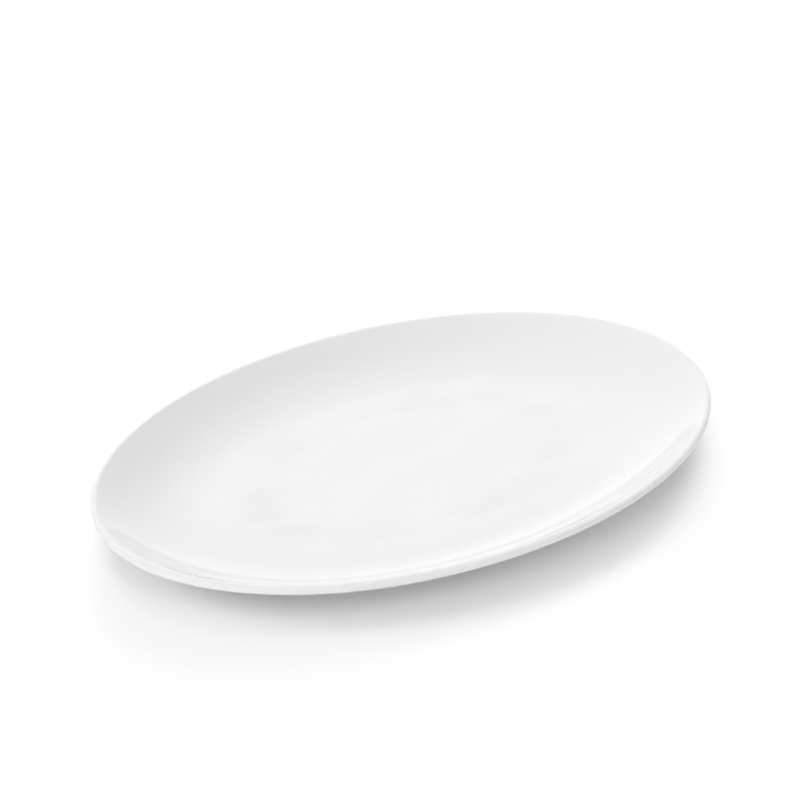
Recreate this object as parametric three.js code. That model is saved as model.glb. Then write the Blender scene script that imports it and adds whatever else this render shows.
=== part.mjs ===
// An oval serving platter in white glazed porcelain: a coupe with no flat rim, whose wall bends up from a flat
// well and runs straight to a full-round lip, and which stands on an oval foot ring.
// The clay is pressed and fired in one piece. Glass covers it all over except on the tread of the foot, which
// is wiped clean so that it doesn't stick in the kiln, and so the glass is in two parts: one coat over the
// inside, the lip and the underside down to the foot, and one coat on the base inside the foot.
// Millimetres, +Z up and +X along the length. The origin is on the table, at the middle of the foot.

import * as THREE from "three";

// Plan of the platter, over the glaze
const length = 360;
const width = 243;
const wallAtSides = 43.5; // from the outer edge in to the edge of the well
const wallAtEnds = 54;

// Section, over the glaze
const lipThickness = 4.5;
const wellDepth = 17.4; // from the crest of the lip down to the well
const wallStraight = 8; // the straight stretch of the wall below the lip
const undersideStraight = 15; // and that of the underside
const floorThickness = 5.6;
const footHeight = 3; // from the tread up to the glazed base
const glazeThickness = 0.3;

// Foot ring, on the bare clay
const footSetIn = 2; // from the edge of the well in to the outer face of the foot
const treadWidth = 4;
const footEdgeRadius = 0.8; // the glaze stops where this round begins

// Facets
const facetsAround = 64;
const wallFacets = 6;
const lipFacets = 3; // in each of the lip's three stretches
const undersideFacets = 5;
const coveFacets = 2;
const footEdgeFacets = 1;

// Heights and radii that follow from these sizes
const wellHeight = footHeight + floorThickness;
const height = wellHeight + wellDepth;
const lipRadius = lipThickness / 2;
const coveRadius = footHeight + glazeThickness - footEdgeRadius; // between the foot and the base, on the clay

// Bearings in a half section, which has the platter's axis on its left
const outward = 0;
const up = Math.PI / 2;
const inward = Math.PI;
const down = -Math.PI / 2;

// Points along an arc, from one bearing to another as seen from its centre
function arc(centre, radius, from, to, facets) {
  const clockwise = to < from;
  const curve = new THREE.EllipseCurve(centre.x, centre.y, radius, radius, from, to, clockwise);
  return curve.getPoints(facets);
}

// A line that leaves a level face on a bend and ends in a straight of this length, this far across and up from
// where it starts: the slope of its straight and the radius of its bend
function bendAndStraight(across, rise, straight) {
  const tangent = (across ** 2 + rise ** 2 - straight ** 2) / (2 * (across + straight));
  const slope = Math.atan2(rise, across - tangent);
  return { slope, radius: tangent / Math.tan(slope / 2) };
}

// The lines of one half section through the platter's axis, from the reach of the lip and the plan width of
// the wall there. Each line runs the same depth of skin below the surface of the glaze.
function halfSection(reach, wall, skin) {
  const wellEdge = reach - wall;
  const lip = new THREE.Vector2(reach - lipRadius, height - lipRadius);
  const footOutside = wellEdge - footSetIn;
  const footInside = footOutside - treadWidth - 2 * footEdgeRadius;

  // The wall and the underside touch the round of the lip, so each is drawn a lip's radius from a line that
  // ends at the middle of the lip
  const wallLine = bendAndStraight(lip.x - wellEdge, lip.y - wellHeight + lipRadius, wallStraight);
  const wallRadius = wallLine.radius - lipRadius;
  const wallCentre = new THREE.Vector2(wellEdge, wellHeight + wallRadius);

  const outerCove = new THREE.Vector2(footOutside + coveRadius, footEdgeRadius);
  const underLine = bendAndStraight(lip.x - outerCove.x, lip.y - footHeight - lipRadius, undersideStraight);
  const undersideRadius = underLine.radius + lipRadius;
  const undersideCentre = new THREE.Vector2(outerCove.x, footHeight + undersideRadius);

  const lipStretches = [up + wallLine.slope, up, outward, down + underLine.slope];

  const innerCove = new THREE.Vector2(footInside - coveRadius, footEdgeRadius);
  const skinnedCove = coveRadius - glazeThickness + skin;

  const outerEdge = new THREE.Vector2(footOutside - footEdgeRadius, footEdgeRadius);
  const innerEdge = new THREE.Vector2(footInside + footEdgeRadius, footEdgeRadius);

  return {
    // From the middle of the well out over the lip and down to the foot
    inside: [new THREE.Vector2(0, wellHeight - skin)],
    wall: arc(wallCentre, wallRadius + skin, down, down + wallLine.slope, wallFacets),
    lip: lipStretches.slice(1).flatMap((to, i) => arc(lip, lipRadius - skin, lipStretches[i], to, lipFacets)),
    underside: arc(undersideCentre, undersideRadius - skin, down + underLine.slope, down, undersideFacets),
    outerCove: arc(outerCove, skinnedCove, up, inward, coveFacets),
    // Round the bare tread
    outerEdge: arc(outerEdge, footEdgeRadius, outward, down, footEdgeFacets),
    innerEdge: arc(innerEdge, footEdgeRadius, down, -inward, footEdgeFacets),
    // From the foot in to the middle of the base
    innerCove: arc(innerCove, skinnedCove, outward, up, coveFacets),
    base: [new THREE.Vector2(0, footHeight + skin)],
  };
}

// One line from several that run on into each other, with their shared ends kept once
function joined(section, ...names) {
  const points = names.flatMap((name) => section[name]);
  return points.filter((point, i) => i === 0 || point.distanceTo(points[i - 1]) > glazeThickness / 10);
}

const overTheTop = ["inside", "wall", "lip", "underside", "outerCove"];
const roundTheTread = ["outerEdge", "innerEdge"];
const acrossTheBase = ["innerCove", "base"];

// The closed lines of the three pieces in one half section. The glaze lies on the very line of the clay.
function pieceLines(reach, wall) {
  const clay = halfSection(reach, wall, glazeThickness);
  const glaze = halfSection(reach, wall, 0);
  return {
    clay: joined(clay, ...overTheTop, ...roundTheTread, ...acrossTheBase),
    topGlaze: [...joined(clay, ...overTheTop), ...joined(glaze, ...overTheTop).reverse()],
    baseGlaze: [...joined(glaze, ...acrossTheBase).reverse(), ...joined(clay, ...acrossTheBase)],
  };
}

const atSides = pieceLines(width / 2, wallAtSides);
const atEnds = pieceLines(length / 2, wallAtEnds);

// A turned shape drawn out to an oval: each ring is an ellipse through its point in the end section and its
// point in the side section, and its height changes smoothly between the two
function drawnOval(name) {
  const ends = atEnds[name];
  const sides = atSides[name];
  const geometry = new THREE.LatheGeometry(sides, facetsAround);
  const position = geometry.getAttribute("position");
  for (let vertex = 0; vertex < position.count; vertex++) {
    const end = ends[vertex % ends.length];
    const side = sides[vertex % sides.length];
    const turn = (2 * Math.PI * Math.floor(vertex / sides.length)) / facetsAround;
    const along = Math.cos(turn);
    const across = Math.sin(turn);
    const level = end.y * along ** 2 + side.y * across ** 2;
    position.setXYZ(vertex, end.x * along, side.x * across, level);
  }
  geometry.computeVertexNormals();
  return geometry;
}

// The clay's line runs the same way as the glaze's on their common face, so that the facets of the two fit.
// Its triangles are turned round to face out.
function turnedRound(geometry) {
  const index = geometry.getIndex();
  for (let corner = 0; corner < index.count; corner += 3) {
    const second = index.getX(corner + 1);
    index.setX(corner + 1, index.getX(corner + 2));
    index.setX(corner + 2, second);
  }
  geometry.computeVertexNormals();
  return geometry;
}

const bareClay = new THREE.MeshStandardMaterial({ color: "#ece8e0", roughness: 0.8, metalness: 0 });
const whiteGlaze = new THREE.MeshStandardMaterial({ color: "#f3f4f2", roughness: 0.08, metalness: 0 });

function piece(name, geometry, material) {
  const mesh = new THREE.Mesh(geometry, material);
  mesh.name = name;
  return mesh;
}

const platter = new THREE.Group();
platter.add(piece("porcelain_body", turnedRound(drawnOval("clay")), bareClay));
platter.add(piece("glaze_coat", drawnOval("topGlaze"), whiteGlaze));
platter.add(piece("base_glaze", drawnOval("baseGlaze"), whiteGlaze));

export default platter;
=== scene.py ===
# An oval serving platter in white glazed porcelain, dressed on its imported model. Metres, with +Z up, and the
# platter's length along +X.

import math

import bpy
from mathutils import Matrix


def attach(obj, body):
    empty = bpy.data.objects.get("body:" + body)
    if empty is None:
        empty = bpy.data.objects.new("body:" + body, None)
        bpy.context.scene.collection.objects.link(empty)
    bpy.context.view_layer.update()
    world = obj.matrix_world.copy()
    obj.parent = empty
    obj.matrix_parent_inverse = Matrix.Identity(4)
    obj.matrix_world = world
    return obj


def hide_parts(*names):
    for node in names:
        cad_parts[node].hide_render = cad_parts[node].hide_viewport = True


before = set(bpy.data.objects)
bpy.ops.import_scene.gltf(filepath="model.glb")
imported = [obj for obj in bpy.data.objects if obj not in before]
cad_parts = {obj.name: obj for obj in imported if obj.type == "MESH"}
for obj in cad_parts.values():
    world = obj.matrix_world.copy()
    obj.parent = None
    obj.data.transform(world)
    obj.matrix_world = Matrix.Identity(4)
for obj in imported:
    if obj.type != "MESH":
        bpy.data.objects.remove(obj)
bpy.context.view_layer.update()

# Camera
# A product photographer's camera with a long lens, about 1.2 m away and looking down at the table. It stands
# in front of the long side, off towards the left end.
mm = 0.001
camera_rise = 28  # degrees above the table
camera_turn = 38.526  # degrees from the platter's width
camera = bpy.data.objects.new("camera", bpy.data.cameras.new("camera"))
camera.location = (-653.26 * mm, -809.8 * mm, 599.32 * mm)
camera.rotation_euler = (math.radians(90 - camera_rise), 0, math.radians(-camera_turn))
camera.data.sensor_width = 36
camera.data.lens = 103.384
bpy.context.scene.collection.objects.link(camera)
bpy.context.scene.camera = camera

# Clay body
# Hard white porcelain, pressed in a mould in one piece with its foot ring, and fired. Glass covers it all
# but for the tread of the foot, which is wiped clean so that it doesn't stick to the kiln shelf.
platter = {
    "Length": 360 * mm,
    "Width": 243 * mm,
    "Wall at ends": 54 * mm,
    "Wall at sides": 43.5 * mm,
    "Lip thickness": 4.5 * mm,
    "Well depth": 17.4 * mm,
    "Wall straight": 8 * mm,
    "Underside straight": 15 * mm,
    "Floor thickness": 5.6 * mm,
    "Foot height": 3 * mm,
    "Foot set-in": 2 * mm,
    "Tread width": 4 * mm,
    "Foot edge radius": 0.8 * mm,
    "Glaze thickness": 0.3 * mm,
    "Facets around": 352,
}


def add(tree, kind, feeds=None, **settings):
    """A new node with its settings, its sockets fed by values, sockets, nodes' first outputs or lists."""
    node = tree.nodes.new(kind)
    for setting, value in settings.items():
        setattr(node, setting, value)
    for socket, feed in (feeds or {}).items():
        # The newest link into a socket for several comes first, so a list is linked from its end
        for source in reversed(feed) if isinstance(feed, list) else [feed]:
            if isinstance(source, bpy.types.Node):
                source = source.outputs[0]
            if isinstance(source, bpy.types.NodeSocket):
                tree.links.new(source, node.inputs[socket])
            else:
                node.inputs[socket].default_value = source
    return node


def new_tree(name, inputs, outputs):
    """An empty Geometry Nodes tree with named sockets, and its inputs by name."""
    tree = bpy.data.node_groups.new(name, "GeometryNodeTree")
    for side, sockets in (("INPUT", inputs), ("OUTPUT", outputs)):
        for socket, kind in sockets.items():
            tree.interface.new_socket(socket, in_out=side, socket_type="NodeSocket" + kind)
    return tree, add(tree, "NodeGroupInput").outputs


# An arc of a section, from one bearing to another as seen from its centre
arc, size = new_tree(
    "Arc",
    {"Centre": "Vector", "Radius": "Float", "From": "Float", "To": "Float", "Points": "Int"},
    {"Curve": "Geometry"},
)
sweep = add(arc, "ShaderNodeMath", {0: size["To"], 1: size["From"]}, operation="SUBTRACT")
bow = add(arc, "GeometryNodeCurveArc", {
    "Resolution": size["Points"],
    "Radius": size["Radius"],
    "Start Angle": size["From"],
    "Sweep Angle": sweep,
})
placed = add(arc, "GeometryNodeTransform", {"Geometry": bow, "Translation": size["Centre"]})
add(arc, "NodeGroupOutput", {"Curve": placed})

# A bend that leaves a level face and then runs straight to touch the round of the lip. It is worked out on
# the line through the middle of the lip, which runs a lip's radius below the wall, or above the underside:
# the round counts as positive for the wall and as negative for the underside. The level and the straight
# would meet in a corner, as far from the bend's one end as from its other, and the sides of the right-angled
# triangle there give that length.
bend_to_lip, size = new_tree(
    "Bend to the lip",
    {"Start": "Vector", "Lip": "Vector", "Round": "Float", "Straight": "Float"},
    {"Centre": "Vector", "Radius": "Float", "Bearing": "Float"},
)
reach = add(bend_to_lip, "ShaderNodeVectorMath", {0: size["Lip"], 1: size["Start"]}, operation="SUBTRACT")
lowered = add(bend_to_lip, "ShaderNodeVectorMath", {
    0: reach,
    1: add(bend_to_lip, "ShaderNodeCombineXYZ", {"Y": size["Round"]}),
}, operation="ADD")
span = add(bend_to_lip, "ShaderNodeSeparateXYZ", {0: lowered})
span_squared = add(bend_to_lip, "ShaderNodeVectorMath", {0: lowered, 1: lowered}, operation="DOT_PRODUCT")
straight_squared = add(bend_to_lip, "ShaderNodeMath", {
    0: size["Straight"],
    1: size["Straight"],
}, operation="MULTIPLY")
left_over = add(bend_to_lip, "ShaderNodeMath", {
    0: span_squared.outputs["Value"],
    1: straight_squared,
}, operation="SUBTRACT")
laid_flat = add(bend_to_lip, "ShaderNodeMath", {0: span.outputs["X"], 1: size["Straight"]}, operation="ADD")
twice_flat = add(bend_to_lip, "ShaderNodeMath", {0: laid_flat, 1: 2.0}, operation="MULTIPLY")
to_corner = add(bend_to_lip, "ShaderNodeMath", {0: left_over, 1: twice_flat}, operation="DIVIDE")
past_corner = add(bend_to_lip, "ShaderNodeMath", {0: span.outputs["X"], 1: to_corner}, operation="SUBTRACT")
slope = add(bend_to_lip, "ShaderNodeMath", {0: span.outputs["Y"], 1: past_corner}, operation="ARCTAN2")
half_slope = add(bend_to_lip, "ShaderNodeMath", {0: slope, 1: 0.5}, operation="MULTIPLY")
steepness = add(bend_to_lip, "ShaderNodeMath", {0: half_slope}, operation="TANGENT")
line_radius = add(bend_to_lip, "ShaderNodeMath", {0: to_corner, 1: steepness}, operation="DIVIDE")
radius = add(bend_to_lip, "ShaderNodeMath", {0: line_radius, 1: size["Round"]}, operation="SUBTRACT")
lift = add(bend_to_lip, "ShaderNodeCombineXYZ", {"Y": radius})
centre = add(bend_to_lip, "ShaderNodeVectorMath", {0: size["Start"], 1: lift}, operation="ADD")
bearing = add(bend_to_lip, "ShaderNodeMath", {0: slope, 1: math.pi / 2}, operation="SUBTRACT")
add(bend_to_lip, "NodeGroupOutput", {"Centre": centre, "Radius": radius, "Bearing": bearing})

# Half a section through the platter's axis, in three lines. Each runs the same depth of skin below the
# surface of the glaze: none for the glaze itself, and the glaze's thickness for the clay.
section_sizes = [
    "Lip thickness", "Well depth", "Wall straight", "Underside straight", "Floor thickness", "Foot height",
    "Foot set-in", "Tread width", "Foot edge radius", "Glaze thickness",
]
half_section, size = new_tree(
    "Half section",
    {"Reach": "Float", "Wall": "Float", "Skin": "Float"} | dict.fromkeys(section_sizes, "Float"),
    {"Over the top": "Geometry", "Round the tread": "Geometry", "Across the base": "Geometry"},
)
outward, up, inward, down = 0.0, math.pi / 2, math.pi, -math.pi / 2

well_edge = add(half_section, "ShaderNodeMath", {0: size["Reach"], 1: size["Wall"]}, operation="SUBTRACT")
well_height = add(half_section, "ShaderNodeMath", {
    0: size["Foot height"],
    1: size["Floor thickness"],
}, operation="ADD")
height = add(half_section, "ShaderNodeMath", {0: well_height, 1: size["Well depth"]}, operation="ADD")
lip_radius = add(half_section, "ShaderNodeMath", {0: size["Lip thickness"], 1: 0.5}, operation="MULTIPLY")
lip_reach = add(half_section, "ShaderNodeMath", {0: size["Reach"], 1: lip_radius}, operation="SUBTRACT")
lip_height = add(half_section, "ShaderNodeMath", {0: height, 1: lip_radius}, operation="SUBTRACT")
lip = add(half_section, "ShaderNodeCombineXYZ", {"X": lip_reach, "Y": lip_height})

# The flat of the well, then the wall up to the lip
flat_level = add(half_section, "ShaderNodeMath", {0: well_height, 1: size["Skin"]}, operation="SUBTRACT")
flat = add(half_section, "GeometryNodeCurvePrimitiveLine", {
    "Start": add(half_section, "ShaderNodeCombineXYZ", {"Y": flat_level}),
    "End": add(half_section, "ShaderNodeCombineXYZ", {"X": well_edge, "Y": flat_level}),
})
well = add(half_section, "GeometryNodeResampleCurve", {"Curve": flat, "Count": 8})
wall = add(half_section, "GeometryNodeGroup", {
    "Start": add(half_section, "ShaderNodeCombineXYZ", {"X": well_edge, "Y": well_height}),
    "Lip": lip,
    "Round": lip_radius,
    "Straight": size["Wall straight"],
}, node_tree=bend_to_lip)
wall_line = add(half_section, "GeometryNodeGroup", {
    "Centre": wall.outputs["Centre"],
    "Radius": add(half_section, "ShaderNodeMath", {
        0: wall.outputs["Radius"],
        1: size["Skin"],
    }, operation="ADD"),
    "From": down,
    "To": wall.outputs["Bearing"],
    "Points": 36,
}, node_tree=arc)

# The foot's two faces, and the underside from the cove behind the foot up to the lip
cove_rise = add(half_section, "ShaderNodeMath", {
    0: size["Foot height"],
    1: size["Glaze thickness"],
}, operation="ADD")
cove_radius = add(half_section, "ShaderNodeMath", {
    0: cove_rise,
    1: size["Foot edge radius"],
}, operation="SUBTRACT")
foot_outside = add(half_section, "ShaderNodeMath", {
    0: well_edge,
    1: size["Foot set-in"],
}, operation="SUBTRACT")
foot_width = add(half_section, "ShaderNodeMath", {
    0: size["Foot edge radius"],
    1: 2.0,
    2: size["Tread width"],
}, operation="MULTIPLY_ADD")
foot_inside = add(half_section, "ShaderNodeMath", {0: foot_outside, 1: foot_width}, operation="SUBTRACT")
root = add(half_section, "ShaderNodeMath", {0: foot_outside, 1: cove_radius}, operation="ADD")
underside = add(half_section, "GeometryNodeGroup", {
    "Start": add(half_section, "ShaderNodeCombineXYZ", {"X": root, "Y": size["Foot height"]}),
    "Lip": lip,
    "Round": add(half_section, "ShaderNodeMath", {0: lip_radius, 1: -1.0}, operation="MULTIPLY"),
    "Straight": size["Underside straight"],
}, node_tree=bend_to_lip)
underside_line = add(half_section, "GeometryNodeGroup", {
    "Centre": underside.outputs["Centre"],
    "Radius": add(half_section, "ShaderNodeMath", {
        0: underside.outputs["Radius"],
        1: size["Skin"],
    }, operation="SUBTRACT"),
    "From": underside.outputs["Bearing"],
    "To": down,
    "Points": 18,
}, node_tree=arc)
lip_line = add(half_section, "GeometryNodeGroup", {
    "Centre": lip,
    "Radius": add(half_section, "ShaderNodeMath", {0: lip_radius, 1: size["Skin"]}, operation="SUBTRACT"),
    "From": add(half_section, "ShaderNodeMath", {0: wall.outputs["Bearing"], 1: inward}, operation="ADD"),
    "To": underside.outputs["Bearing"],
    "Points": 64,
}, node_tree=arc)
glazed_cove = add(half_section, "ShaderNodeMath", {
    0: cove_radius,
    1: size["Glaze thickness"],
}, operation="SUBTRACT")
skinned_cove = add(half_section, "ShaderNodeMath", {0: glazed_cove, 1: size["Skin"]}, operation="ADD")
outer_cove = add(half_section, "GeometryNodeGroup", {
    "Centre": add(half_section, "ShaderNodeCombineXYZ", {"X": root, "Y": size["Foot edge radius"]}),
    "Radius": skinned_cove,
    "From": up,
    "To": inward,
    "Points": 8,
}, node_tree=arc)
over_the_top = add(half_section, "GeometryNodeJoinGeometry", {
    "Geometry": [well, wall_line, lip_line, underside_line, outer_cove],
})

# Round the bare tread
outer_edge_reach = add(half_section, "ShaderNodeMath", {
    0: foot_outside,
    1: size["Foot edge radius"],
}, operation="SUBTRACT")
outer_edge = add(half_section, "GeometryNodeGroup", {
    "Centre": add(half_section, "ShaderNodeCombineXYZ", {
        "X": outer_edge_reach,
        "Y": size["Foot edge radius"],
    }),
    "Radius": size["Foot edge radius"],
    "From": outward,
    "To": down,
    "Points": 6,
}, node_tree=arc)
inner_edge_reach = add(half_section, "ShaderNodeMath", {
    0: foot_inside,
    1: size["Foot edge radius"],
}, operation="ADD")
inner_edge = add(half_section, "GeometryNodeGroup", {
    "Centre": add(half_section, "ShaderNodeCombineXYZ", {
        "X": inner_edge_reach,
        "Y": size["Foot edge radius"],
    }),
    "Radius": size["Foot edge radius"],
    "From": down,
    "To": -inward,
    "Points": 6,
}, node_tree=arc)
round_the_tread = add(half_section, "GeometryNodeJoinGeometry", {"Geometry": [outer_edge, inner_edge]})

# From the foot in to the middle of the base
base_edge = add(half_section, "ShaderNodeMath", {0: foot_inside, 1: cove_radius}, operation="SUBTRACT")
inner_cove = add(half_section, "GeometryNodeGroup", {
    "Centre": add(half_section, "ShaderNodeCombineXYZ", {"X": base_edge, "Y": size["Foot edge radius"]}),
    "Radius": skinned_cove,
    "From": outward,
    "To": up,
    "Points": 8,
}, node_tree=arc)
base_level = add(half_section, "ShaderNodeMath", {0: size["Foot height"], 1: size["Skin"]}, operation="ADD")
base_flat = add(half_section, "GeometryNodeCurvePrimitiveLine", {
    "Start": add(half_section, "ShaderNodeCombineXYZ", {"X": base_edge, "Y": base_level}),
    "End": add(half_section, "ShaderNodeCombineXYZ", {"Y": base_level}),
})
base = add(half_section, "GeometryNodeResampleCurve", {"Curve": base_flat, "Count": 24})
across_the_base = add(half_section, "GeometryNodeJoinGeometry", {"Geometry": [inner_cove, base]})
add(half_section, "NodeGroupOutput", {
    "Over the top": over_the_top,
    "Round the tread": round_the_tread,
    "Across the base": across_the_base,
})

# A turned surface drawn out to an oval: each ring is an ellipse through its point in the end section and its
# point in the side section, and its height changes smoothly between the two. Points at the seam and at the
# poles that lie closer than the weld become one.
weld = 0.001 * mm
oval, size = new_tree(
    "Drawn to an oval",
    {"End section": "Geometry", "Side section": "Geometry", "Facets around": "Int"},
    {"Surface": "Geometry"},
)
rings = add(oval, "GeometryNodeAttributeDomainSize", {"Geometry": size["End section"]}, component="CURVE")
ring_points = add(oval, "ShaderNodeMath", {0: size["Facets around"], 1: 1.0}, operation="ADD")
sheet = add(oval, "GeometryNodeMeshGrid", {
    "Vertices X": rings.outputs["Point Count"],
    "Vertices Y": ring_points,
})
index = add(oval, "GeometryNodeInputIndex")
share = add(oval, "ShaderNodeMath", {0: index, 1: ring_points}, operation="DIVIDE")
ring = add(oval, "ShaderNodeMath", {0: share}, operation="FLOOR")
step = add(oval, "ShaderNodeMath", {0: index, 1: ring_points}, operation="MODULO")
part_turn = add(oval, "ShaderNodeMath", {0: step, 1: size["Facets around"]}, operation="DIVIDE")
turn = add(oval, "ShaderNodeMath", {0: part_turn, 1: 2 * math.pi}, operation="MULTIPLY")
along = add(oval, "ShaderNodeMath", {0: turn}, operation="COSINE")
across = add(oval, "ShaderNodeMath", {0: turn}, operation="SINE")
spot = add(oval, "GeometryNodeInputPosition")
end_point = add(oval, "GeometryNodeSampleIndex", {
    "Geometry": size["End section"],
    "Value": spot,
    "Index": ring,
}, data_type="FLOAT_VECTOR")
side_point = add(oval, "GeometryNodeSampleIndex", {
    "Geometry": size["Side section"],
    "Value": spot,
    "Index": ring,
}, data_type="FLOAT_VECTOR")
end_at = add(oval, "ShaderNodeSeparateXYZ", {0: end_point})
side_at = add(oval, "ShaderNodeSeparateXYZ", {0: side_point})
across_share = add(oval, "ShaderNodeMath", {0: across, 1: across}, operation="MULTIPLY")
level = add(oval, "ShaderNodeMix", {
    "Factor": across_share,
    "A": end_at.outputs["Y"],
    "B": side_at.outputs["Y"],
})
drawn = add(oval, "ShaderNodeCombineXYZ", {
    "X": add(oval, "ShaderNodeMath", {0: end_at.outputs["X"], 1: along}, operation="MULTIPLY"),
    "Y": add(oval, "ShaderNodeMath", {0: side_at.outputs["X"], 1: across}, operation="MULTIPLY"),
    "Z": level,
})
laid = add(oval, "GeometryNodeSetPosition", {"Geometry": sheet, "Position": drawn})
closed = add(oval, "GeometryNodeMergeByDistance", {"Geometry": laid, "Distance": weld})
smooth = add(oval, "GeometryNodeSetShadeSmooth", {"Geometry": closed})
add(oval, "NodeGroupOutput", {"Surface": smooth})

# The platter's three surfaces at one depth of skin
platter_sockets = dict.fromkeys(platter, "Float") | {"Facets around": "Int"}
surfaces, size = new_tree(
    "Platter surfaces",
    platter_sockets | {"Skin": "Float"},
    {"Top": "Geometry", "Tread": "Geometry", "Base": "Geometry"},
)
shared = {name: size[name] for name in [*section_sizes, "Skin"]}
at_ends = add(surfaces, "GeometryNodeGroup", {
    "Reach": add(surfaces, "ShaderNodeMath", {0: size["Length"], 1: 0.5}, operation="MULTIPLY"),
    "Wall": size["Wall at ends"],
    **shared,
}, node_tree=half_section)
at_sides = add(surfaces, "GeometryNodeGroup", {
    "Reach": add(surfaces, "ShaderNodeMath", {0: size["Width"], 1: 0.5}, operation="MULTIPLY"),
    "Wall": size["Wall at sides"],
    **shared,
}, node_tree=half_section)
drawn_lines = {}
for surface, line in (("Top", "Over the top"), ("Tread", "Round the tread"), ("Base", "Across the base")):
    drawn_lines[surface] = add(surfaces, "GeometryNodeGroup", {
        "End section": at_ends.outputs[line],
        "Side section": at_sides.outputs[line],
        "Facets around": size["Facets around"],
    }, node_tree=oval)
add(surfaces, "NodeGroupOutput", drawn_lines)


def linear(colour):
    """The linear colour of an sRGB hex value."""
    parts = [int(colour[i:i + 2], 16) / 255 for i in (1, 3, 5)]
    return (*(p / 12.92 if p <= 0.04045 else ((p + 0.055) / 1.055) ** 2.4 for p in parts), 1)


def emptied(owner):
    """The node tree of a new material or world, with nothing in it."""
    owner.use_nodes = True
    owner.node_tree.nodes.clear()
    return owner.node_tree


# A Mix node's sockets for colours, which share their names with its sockets for numbers
first_colour, second_colour, mixed_colour = 6, 7, 2

# Unglazed porcelain, fired hard: matt, fine-grained and a little creamier than the glazed white. Iron in the
# clay gives it a faint warm blush in patches.
bisque = bpy.data.materials.new("Unglazed porcelain")
shader = emptied(bisque)
place = add(shader, "ShaderNodeTexCoord").outputs["Object"]
blush = add(shader, "ShaderNodeTexNoise", {"Vector": place, "Scale": 1 / (25 * mm), "Detail": 3.0})
# The real grain is a few hundredths of a millimetre, and is drawn ten times as coarse so that it shows
grain = add(shader, "ShaderNodeTexNoise", {"Vector": place, "Scale": 1 / (0.4 * mm), "Detail": 2.0})
cream = add(shader, "ShaderNodeMix", {
    "Factor": blush,
    first_colour: linear("#efebe3"),
    second_colour: linear("#e2d8c8"),
}, data_type="RGBA")
tooth = add(shader, "ShaderNodeBump", {"Height": grain, "Strength": 0.5, "Distance": 0.05 * mm})
dull = add(shader, "ShaderNodeMapRange", {"Value": grain, "To Min": 0.7, "To Max": 0.9})
surface = add(shader, "ShaderNodeBsdfPrincipled", {
    "Base Color": cream.outputs[mixed_colour],
    "Roughness": dull,
    "IOR": 1.5,
    "Normal": tooth,
})
add(shader, "ShaderNodeOutputMaterial", {"Surface": surface})

clay_body, size = new_tree("Clay body", platter_sockets, {"Clay": "Geometry"})
skin_deep = add(clay_body, "GeometryNodeGroup", {
    "Skin": size["Glaze thickness"],
    **{name: size[name] for name in platter},
}, node_tree=surfaces)
whole = add(clay_body, "GeometryNodeJoinGeometry", {"Geometry": list(skin_deep.outputs)})
sealed = add(clay_body, "GeometryNodeMergeByDistance", {"Geometry": whole, "Distance": weld})
realized = add(clay_body, "GeometryNodeRealizeInstances", {"Geometry": sealed})
finished = add(clay_body, "GeometryNodeSetMaterial", {"Geometry": realized, "Material": bisque})
add(clay_body, "NodeGroupOutput", {"Clay": finished})


def grown(name, tree, sizes, inward_thickness=0):
    """A piece grown by a tree from its named sizes, with a thickness put on inwards, as a plain mesh."""
    piece = bpy.data.objects.new(name, bpy.data.meshes.new(name))
    bpy.context.scene.collection.objects.link(piece)
    growth = piece.modifiers.new(tree.name, "NODES")
    growth.node_group = tree
    for socket in tree.interface.items_tree:
        if socket.name in sizes:
            growth[socket.identifier] = sizes[socket.name]
    if inward_thickness:
        wall = piece.modifiers.new("Thickness", "SOLIDIFY")
        wall.thickness = inward_thickness
        wall.offset = -1
    evaluated = piece.evaluated_get(bpy.context.evaluated_depsgraph_get())
    piece.data = bpy.data.meshes.new_from_object(evaluated)
    piece.modifiers.clear()
    piece.data.materials.pop(index=0)  # the grid's own slot, which is empty
    return piece


clay = grown("clay_body", clay_body, platter)
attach(clay, "root")
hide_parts("porcelain_body")

# Glaze coat
# A clear feldspar glass, poured over the inside, the lip and the underside down to the foot, and melted on
# in a second firing. It flows out glossy and even.
# In the well the white is drawn a hair darker in a faint oval ring and in blotches. These sizes place them
well_half_length = platter["Length"] / 2 - platter["Wall at ends"]
well_half_width = platter["Width"] / 2 - platter["Wall at sides"]
ring_place = 0.72  # as a share of the way from the middle of the well to the edge of its flat
ring_half_width = 0.16  # the same
blotch_length = 44 * mm
blotch_width = 24 * mm
even_mottle = 0.45  # as a share of the darkest white

# Glossy feldspar glaze over white porcelain: neutral white from the clay under it, with a wet shine. In the
# well the white is drawn a hair darker, and a little less shiny, in a faint oval ring and in blotches. Its
# skin has a faint peel, a few millimetres across.
glaze = bpy.data.materials.new("Clear glaze on white porcelain")
shader = emptied(glaze)
place = add(shader, "ShaderNodeTexCoord").outputs["Object"]
from_middle = add(shader, "ShaderNodeVectorMath", {
    0: place,
    1: (1 / well_half_length, 1 / well_half_width, 0),
}, operation="MULTIPLY")
share_out = add(shader, "ShaderNodeVectorMath", {0: from_middle}, operation="LENGTH").outputs["Value"]
towards_ring = add(shader, "ShaderNodeMath", {0: share_out, 1: ring_place}, operation="PINGPONG")
dark_ring = add(shader, "ShaderNodeMapRange", {
    "Value": towards_ring,
    "From Min": ring_place - ring_half_width,
    "From Max": ring_place,
    "To Min": even_mottle,
    "To Max": 1.0,
}, interpolation_type="SMOOTHSTEP")
along_length = add(shader, "ShaderNodeMapping", {
    "Vector": place,
    "Scale": (1 / blotch_length, 1 / blotch_width, 1 / blotch_width),
})
noise = add(shader, "ShaderNodeTexNoise", {"Vector": along_length, "Scale": 1.0, "Detail": 2.0})
blotches = add(shader, "ShaderNodeMapRange", {"Value": noise, "From Min": 0.3, "From Max": 0.7})
up_the_wall = add(shader, "ShaderNodeMapRange", {
    "Value": share_out,
    "From Min": 0.85,
    "From Max": 1.05,
}, interpolation_type="SMOOTHSTEP")
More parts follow.
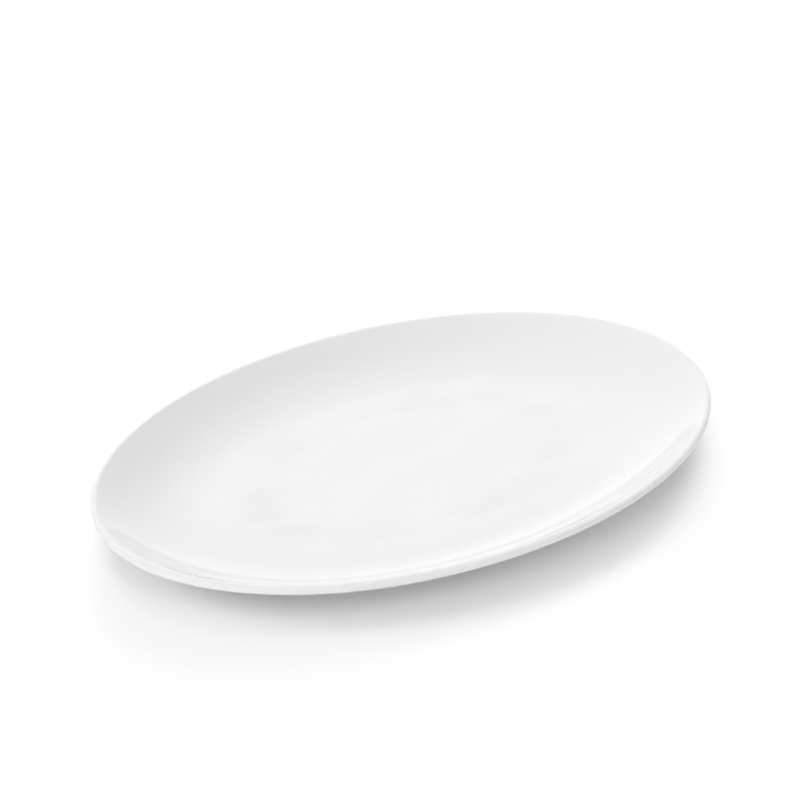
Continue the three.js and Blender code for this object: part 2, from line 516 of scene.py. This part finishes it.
# How much darker the well's white is drawn, from the ring and the blotches, fading to an even share up the
# wall. The roughness follows it as well
well_mottle = add(shader, "ShaderNodeMix", {
    "Factor": up_the_wall,
    "A": add(shader, "ShaderNodeMath", {0: dark_ring, 1: blotches}, operation="MULTIPLY"),
    "B": even_mottle,
})
peel = add(shader, "ShaderNodeTexNoise", {"Vector": place, "Scale": 1 / (3 * mm), "Detail": 1.0})
white = add(shader, "ShaderNodeMix", {
    "Factor": well_mottle,
    first_colour: linear("#f7f7f7"),
    second_colour: linear("#f0f0f0"),
}, data_type="RGBA")
skin = add(shader, "ShaderNodeBump", {"Height": peel, "Strength": 0.1, "Distance": 0.01 * mm})
shine = add(shader, "ShaderNodeMapRange", {"Value": well_mottle, "To Min": 0.02, "To Max": 0.05})
surface = add(shader, "ShaderNodeBsdfPrincipled", {
    "Base Color": white.outputs[mixed_colour],
    "Roughness": shine,
    "IOR": 1.5,
    "Normal": skin,
})
add(shader, "ShaderNodeOutputMaterial", {"Surface": surface})


def glaze_on(name, surface):
    """A tree for the outer face of the glaze on one of the platter's surfaces."""
    tree, size = new_tree(name, platter_sockets, {"Glaze": "Geometry"})
    outside = add(tree, "GeometryNodeGroup", {
        "Skin": 0.0,
        **{socket: size[socket] for socket in platter},
    }, node_tree=surfaces)
    realized = add(tree, "GeometryNodeRealizeInstances", {"Geometry": outside.outputs[surface]})
    finished = add(tree, "GeometryNodeSetMaterial", {"Geometry": realized, "Material": glaze})
    add(tree, "NodeGroupOutput", {"Glaze": finished})
    return tree


# The glaze stops a hair short of the clay, so that no two faces share a place
skin_thickness = 0.25 * mm
coat = grown("glaze_coat_skin", glaze_on("Glaze coat", "Top"), platter, skin_thickness)
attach(coat, "root")
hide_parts("glaze_coat")

# Base glaze
# The same clear glass on the base inside the foot ring, poured on and melted together with the coat. The
# bare tread of the foot divides the two.
base_skin = grown("base_glaze_skin", glaze_on("Base glaze", "Base"), platter, skin_thickness)
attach(base_skin, "root")
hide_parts("base_glaze")

# Floor
# A sweep of matt white paper, rolled out flat under the platter and wide enough to fill the view. To the eye
# and in the glaze it is lifted a little above what the lamps give it, so that it comes out white.
half_side = 6.0
paper_lift = 0.12
floor = bpy.data.objects.new("paper_sweep", bpy.data.meshes.new("paper_sweep"))
corners = [
    (-half_side, -half_side, 0),
    (half_side, -half_side, 0),
    (half_side, half_side, 0),
    (-half_side, half_side, 0),
]
floor.data.from_pydata(corners, [], [(0, 1, 2, 3)])
bpy.context.scene.collection.objects.link(floor)
paper = bpy.data.materials.new("Matt white paper")
shader = emptied(paper)
rays = add(shader, "ShaderNodeLightPath").outputs
mirrored = add(shader, "ShaderNodeMath", {
    0: rays["Is Glossy Ray"],
    1: rays["Is Transmission Ray"],
}, operation="MAXIMUM")
seen = add(shader, "ShaderNodeMath", {0: rays["Is Camera Ray"], 1: mirrored}, operation="MAXIMUM")
lifted = add(shader, "ShaderNodeMath", {0: seen, 1: paper_lift}, operation="MULTIPLY")
surface = add(shader, "ShaderNodeBsdfPrincipled", {
    "Base Color": linear("#fdfdfd"),
    "Roughness": 1.0,
    "Specular IOR Level": 0.0,
    "Emission Color": linear("#ffffff"),
    "Emission Strength": lifted,
})
add(shader, "ShaderNodeOutputMaterial", {"Surface": surface})
floor.data.materials.append(paper)

# Light
# A white photo studio. Large soft lamps hang far off, most of them behind and on the left, and throw the
# platter's shadow forwards. The glaze mirrors the white room rather than the lamps, and behind the platter,
# where a lit sheet hangs, the room is brighter than white.
white_room = 1.0
lit_sheet = 1.4
sheet_half_angle = math.radians(60)
world = bpy.data.worlds.new("White studio")
shader = emptied(world)
rays = add(shader, "ShaderNodeLightPath").outputs
mirrored = add(shader, "ShaderNodeMath", {
    0: rays["Is Glossy Ray"],
    1: rays["Is Transmission Ray"],
}, operation="MAXIMUM")
away = math.radians(camera_turn)
behind = add(shader, "ShaderNodeVectorMath", {
    0: add(shader, "ShaderNodeTexCoord").outputs["Generated"],
    1: (math.sin(away), math.cos(away), 0),
}, operation="DOT_PRODUCT").outputs["Value"]
white_walls = add(shader, "ShaderNodeMapRange", {
    "Value": behind,
    "From Max": math.cos(sheet_half_angle),
    "To Min": white_room,
    "To Max": lit_sheet,
}, interpolation_type="SMOOTHSTEP")
walls = add(shader, "ShaderNodeMath", {0: mirrored, 1: white_walls}, operation="MULTIPLY")
brightness = add(shader, "ShaderNodeMath", {0: rays["Is Camera Ray"], 1: walls}, operation="MAXIMUM")
room = add(shader, "ShaderNodeBackground", {"Color": linear("#ffffff"), "Strength": brightness})
add(shader, "ShaderNodeOutputWorld", {"Surface": room})
bpy.context.scene.world = world

# Each lamp's bearing from the platter, clockwise from straight away from the camera, its height above the
# horizon and its width as seen from the platter, all in degrees, and its strength
lamps = {
    "top_lamp": (0, 80, 60, 1.14),
    "back_right_lamp": (20, 40, 24, 0.62),
    "back_lamp": (0, 22, 26, 0.42),
    "low_back_lamp": (0, 8, 26, 0.87),
    "front_lamp": (180, 54, 26, 0.51),
    "low_front_lamp": (180, 8, 26, 1.17),
    "high_left_lamp": (240, 70, 26, 0.12),
    "left_lamp": (255, 38, 26, 0.52),
    "low_left_lamp": (270, 22, 26, 0.32),
}
for name, (bearing, height, width, strength) in lamps.items():
    lamp = bpy.data.objects.new(name, bpy.data.lights.new(name, "SUN"))
    lamp.data.energy = strength
    lamp.data.angle = math.radians(width)
    lamp.rotation_euler = (math.radians(90 - height), 0, math.radians(180 - camera_turn - bearing))
    lamp.visible_glossy = False
    bpy.context.scene.collection.objects.link(lamp)

bpy.context.scene.view_settings.view_transform = "Standard"
